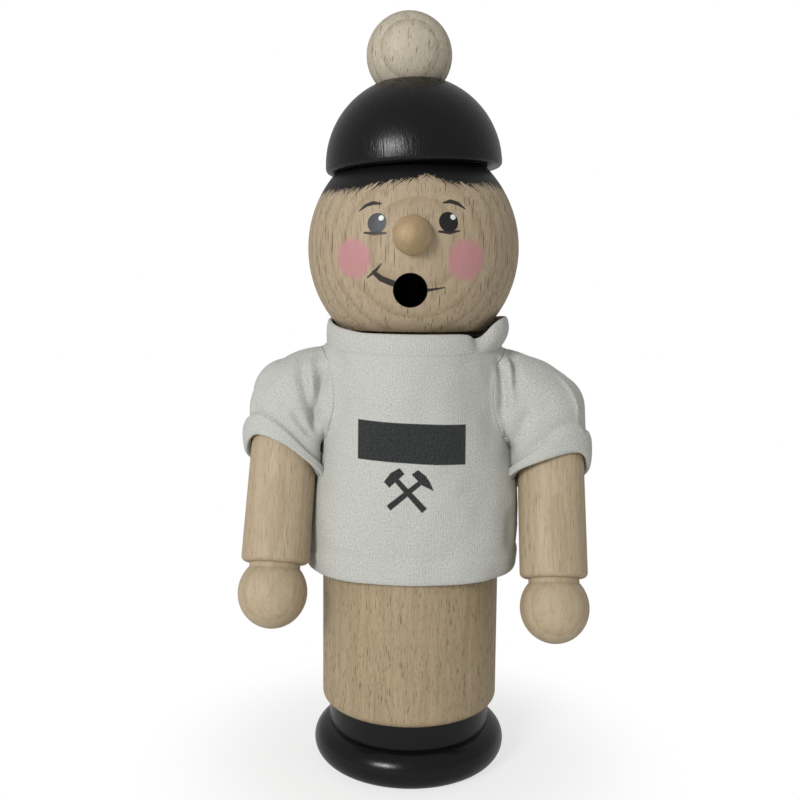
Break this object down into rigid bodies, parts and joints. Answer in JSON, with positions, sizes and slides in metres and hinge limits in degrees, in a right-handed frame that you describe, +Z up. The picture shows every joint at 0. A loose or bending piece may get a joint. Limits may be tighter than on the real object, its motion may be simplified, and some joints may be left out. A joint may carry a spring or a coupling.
{
  "type": "incense smoker",
  "caption": "Turned wooden incense smoker: hollow figure with ball head, half-ball hat, bobble, swinging arms and knitted shirt, lifting off a round foot.",
  "frame": {"origin": "centre of the foot's flat underside, on the turning axis, at the surface it stands on", "axes": "+Z up along the turning axis; the face looks towards -Y; the figure's own right arm is on the -X side"},
  "size_m": [0.0841, 0.057, 0.18],
  "materials": {
    "beech": "waxed turned beech",
    "nose_beech": "waxed turned beech, warmer",
    "dowel_beech": "raw beech dowel",
    "black_lacquer": "satin black lacquer on wood",
    "plate_steel": "pressed tinned steel",
    "nail_steel": "bright steel",
    "cotton_knit": "off-white cotton knit"
  },
  "bodies": {
    "base": {"foot": "black_lacquer", "incense_plate": "plate_steel", "plate_nail": "nail_steel"},
    "figure": {"body": "beech", "neck_tube": "dowel_beech", "head": "beech", "nose": "nose_beech", "hat": "black_lacquer", "hat_dowel": "dowel_beech", "bobble": "beech", "bobble_dowel": "dowel_beech", "shirt_front": "cotton_knit", "shirt_back": "cotton_knit", "shirt_collar": "cotton_knit"},
    "right_arm": {"right_arm": "beech", "right_hand": "beech", "right_shoulder_peg": "dowel_beech", "right_sleeve": "cotton_knit"},
    "left_arm": {"left_arm": "beech", "left_hand": "beech", "left_shoulder_peg": "dowel_beech", "left_sleeve": "cotton_knit"}
  },
  "joints": [
    {"name": "lift_off", "type": "slide", "parent": "base", "child": "figure", "axis": [0, 0, 1], "range_m": [0, 0.04]},
    {"name": "right_shoulder", "type": "hinge", "parent": "figure", "child": "right_arm", "pos_m": [-0.0298, 0, 0.0905], "axis": [-1, 0, 0], "range_deg": [-40, 70]},
    {"name": "left_shoulder", "type": "hinge", "parent": "figure", "child": "left_arm", "pos_m": [0.03335, 0, 0.0875], "axis": [-1, 0, 0], "range_deg": [-40, 70]}
  ]
}
